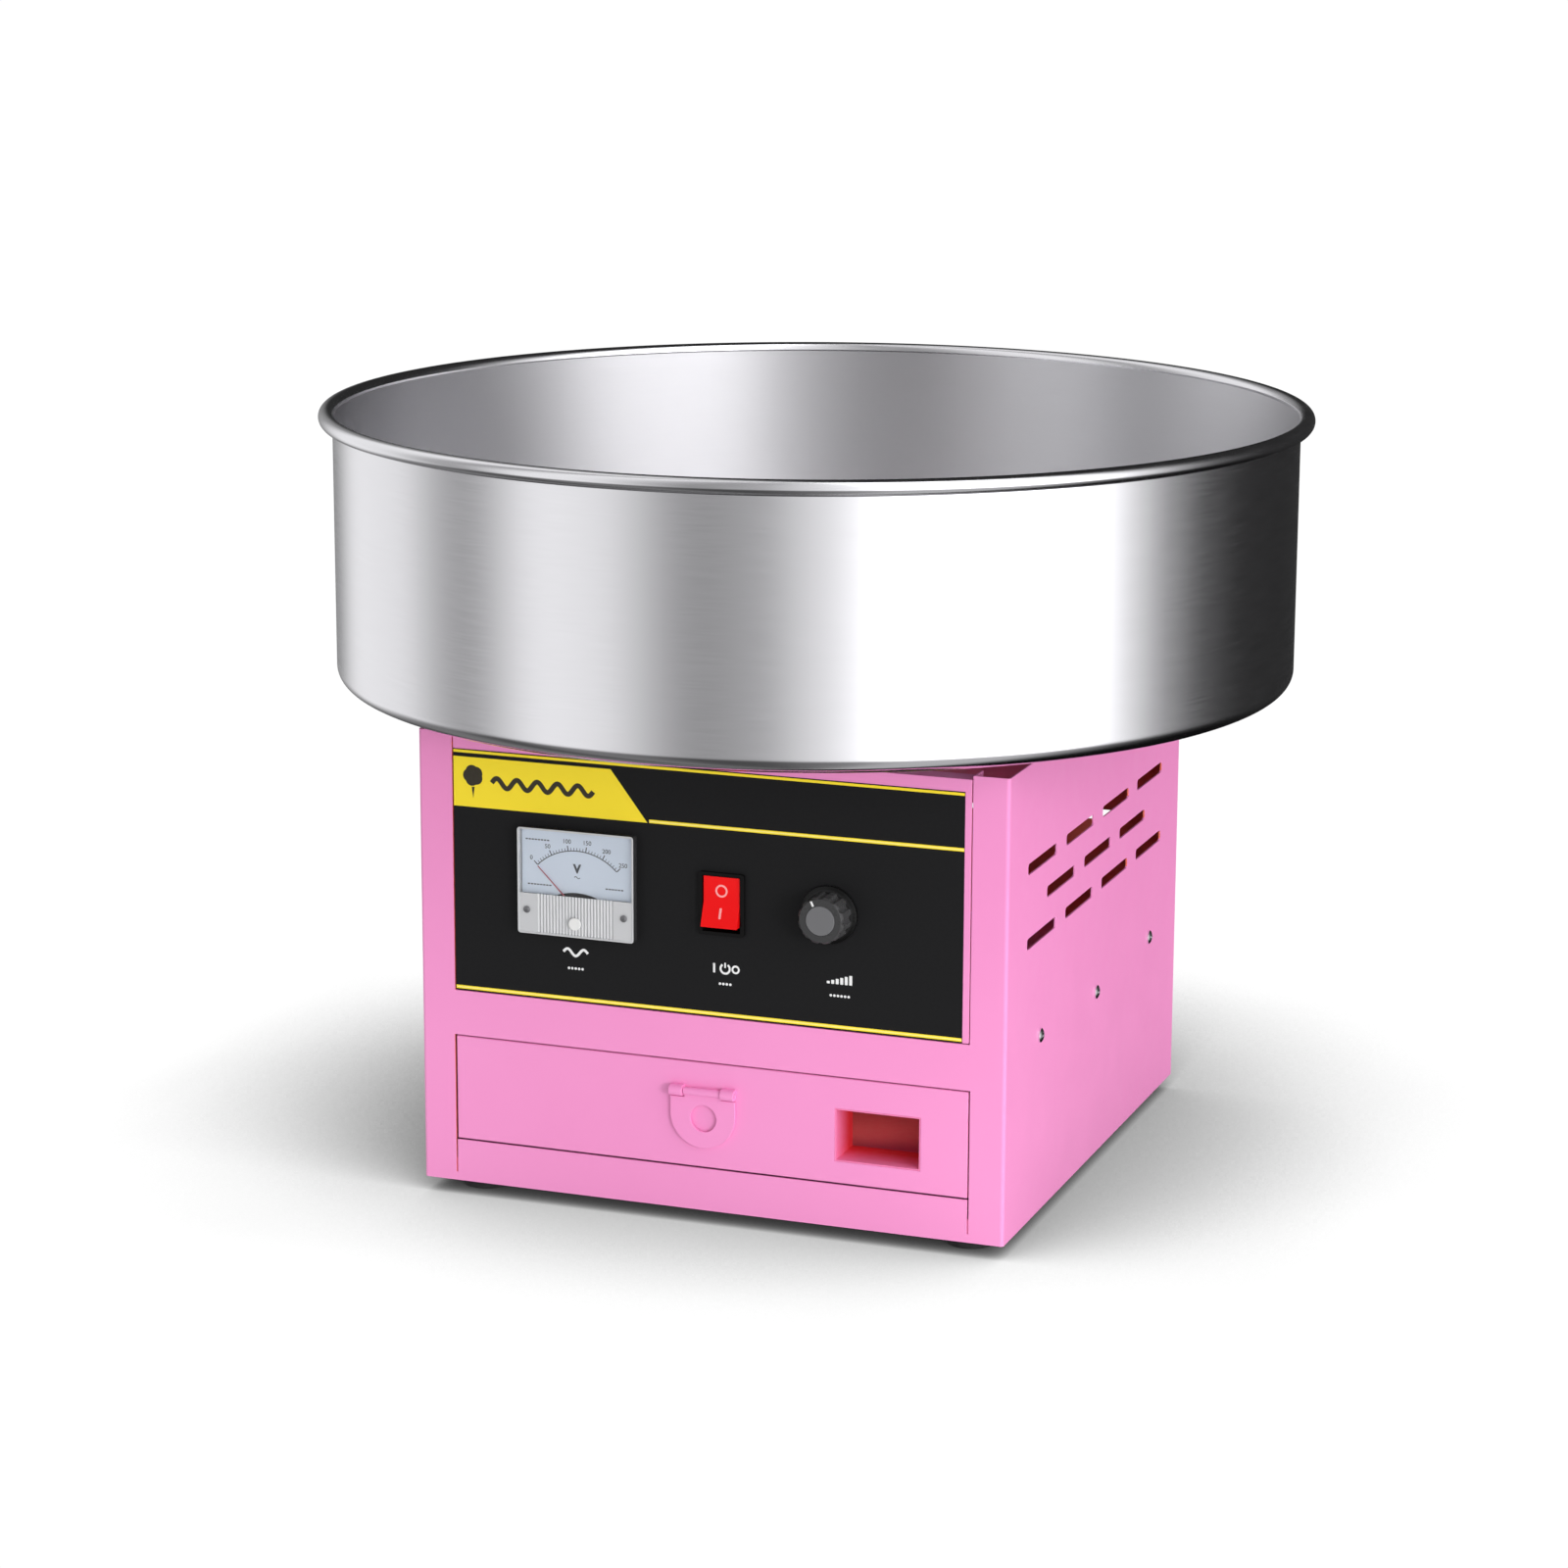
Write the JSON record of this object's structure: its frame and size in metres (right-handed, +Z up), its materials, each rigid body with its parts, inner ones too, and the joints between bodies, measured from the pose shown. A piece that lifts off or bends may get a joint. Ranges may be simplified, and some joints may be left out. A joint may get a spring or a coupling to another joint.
{
  "type": "cotton candy machine",
  "caption": "Table-top sugar floss spinner: sheet-steel cabinet with control panel and drawer, heated spinning head in a wide lift-off bowl.",
  "frame": {"origin": "on the table, under the spinner's axis and the centre of the bowl", "axes": "+Z up along the spinner's axis; the control panel faces -Y"},
  "size_m": [0.5252, 0.5251, 0.4065],
  "materials": {
    "pink_coat": "semi-gloss powder coat",
    "polished_stainless": "polished, faint spun lines",
    "galvanised_steel": "zinc plated",
    "bright_screws": "nickel plated",
    "black_rubber": "matt",
    "black_plastic": "fine moulded grain",
    "panel_film": "satin printed film",
    "meter_plastic": "moulded grey",
    "meter_magnet": "ground",
    "meter_face": "matt printed",
    "clear_cover": "clear moulded",
    "white_plastic": "moulded",
    "needle_red": "painted",
    "rocker_red": "glossy moulded",
    "knob_grey": "satin",
    "shaft_steel": "ground",
    "board_green": "solder mask",
    "cast_aluminium": "machined",
    "lamination_steel": "varnished laminations",
    "copper_winding": "enamelled copper",
    "brass": "turned",
    "carbon": "pressed carbon",
    "spring_steel": "wire",
    "heater_strip": "heat-stained strip"
  },
  "bodies": {
    "cabinet": {"cabinet_shell": "pink_coat", "rear_panel": "pink_coat", "base_pan": "pink_coat", "divider_shelf": "pink_coat", "drawer_runners": "galvanised_steel", "top_deck": "pink_coat", "bowl_collar": "polished_stainless", "bowl_seat_ring": "polished_stainless", "bowl_gasket": "black_rubber", "rubber_feet": "black_rubber", "foot_screws": "bright_screws", "cabinet_screws": "bright_screws", "gland_body": "black_plastic", "control_panel_plate": "pink_coat", "panel_overlay": "panel_film", "meter_case": "meter_plastic", "meter_movement": "meter_magnet", "meter_dial": "meter_face", "meter_cover": "clear_cover", "meter_screws": "bright_screws", "switch_housing": "black_plastic", "potentiometer": "black_plastic", "control_board": "board_green", "heat_sink": "cast_aluminium", "motor_lower_bell": "cast_aluminium", "motor_upper_bell": "cast_aluminium", "motor_bearings": "shaft_steel", "motor_stator": "lamination_steel", "motor_windings": "copper_winding", "motor_bolts": "bright_screws", "motor_spacers": "shaft_steel", "brush_holder": "black_plastic", "brush_springs": "spring_steel"},
    "spinner": {"spinner_shaft": "shaft_steel", "motor_rotor": "lamination_steel", "cooling_fan": "black_plastic", "slip_ring_hub": "black_plastic", "slip_rings": "brass", "head_base": "cast_aluminium", "heater_element": "heater_strip", "head_band": "cast_aluminium", "head_cover": "cast_aluminium", "sugar_cup": "cast_aluminium", "head_nut": "bright_screws", "head_screws": "bright_screws"},
    "drawer": {"drawer_front": "pink_coat", "drawer_tray": "pink_coat", "window_sleeve": "pink_coat", "pull_ears": "pink_coat", "pull_pin": "bright_screws"},
    "ring_pull": {"pull_tab": "pink_coat"},
    "rocker": {"rocker": "rocker_red"},
    "knob": {"knob_body": "black_plastic", "knob_cap": "knob_grey", "knob_shaft": "shaft_steel"},
    "needle": {"meter_needle": "needle_red"},
    "zero_screw": {"meter_zero_screw": "white_plastic"},
    "bowl": {"bowl": "polished_stainless"},
    "brush_upper": {"carbon_brush_upper": "carbon"},
    "brush_lower": {"carbon_brush_lower": "carbon"}
  },
  "joints": [
    {"name": "spinner_spin", "type": "hinge", "parent": "cabinet", "child": "spinner", "pos_m": [0, 0, 0.3], "axis": [0, 0, 1], "continuous": true},
    {"name": "drawer_slide", "type": "slide", "parent": "cabinet", "child": "drawer", "axis": [0, -1, 0], "range_m": [0, 0.2]},
    {"name": "ring_pull_lift", "type": "hinge", "parent": "drawer", "child": "ring_pull", "pos_m": [-0.00175, -0.1622, 0.0721], "axis": [-1, 0, 0], "range_deg": [0, 100]},
    {"name": "rocker_tip", "type": "hinge", "parent": "cabinet", "child": "rocker", "pos_m": [0.0086, -0.156, 0.1726], "axis": [1, 0, 0], "range_deg": [0, 20]},
    {"name": "knob_turn", "type": "hinge", "parent": "cabinet", "child": "knob", "pos_m": [0.0665, -0.16, 0.1726], "axis": [0, 1, 0], "range_deg": [-123, 177]},
    {"name": "needle_swing", "type": "hinge", "parent": "cabinet", "child": "needle", "pos_m": [-0.0704, -0.1633, 0.1624], "axis": [0, 1, 0], "range_deg": [0, 90], "stiffness_Nm_per_rad": 0.00002, "springref_deg": -5.73},
    {"name": "zero_screw_turn", "type": "hinge", "parent": "cabinet", "child": "zero_screw", "pos_m": [-0.0704, -0.166, 0.1556], "axis": [0, 1, 0], "range_deg": [-60, 60]},
    {"name": "bowl_lift", "type": "slide", "parent": "cabinet", "child": "bowl", "axis": [0, 0, 1], "range_m": [0, 0.12]},
    {"name": "brush_feed_upper", "type": "slide", "parent": "cabinet", "child": "brush_upper", "axis": [1, 0, 0], "range_m": [0, 0.004], "stiffness_N_per_m": 120, "springref_m": -0.004, "deforming": ["brush_springs"]},
    {"name": "brush_feed_lower", "type": "slide", "parent": "cabinet", "child": "brush_lower", "axis": [-1, 0, 0], "range_m": [0, 0.004], "stiffness_N_per_m": 120, "springref_m": -0.004, "deforming": ["brush_springs"]}
  ]
}
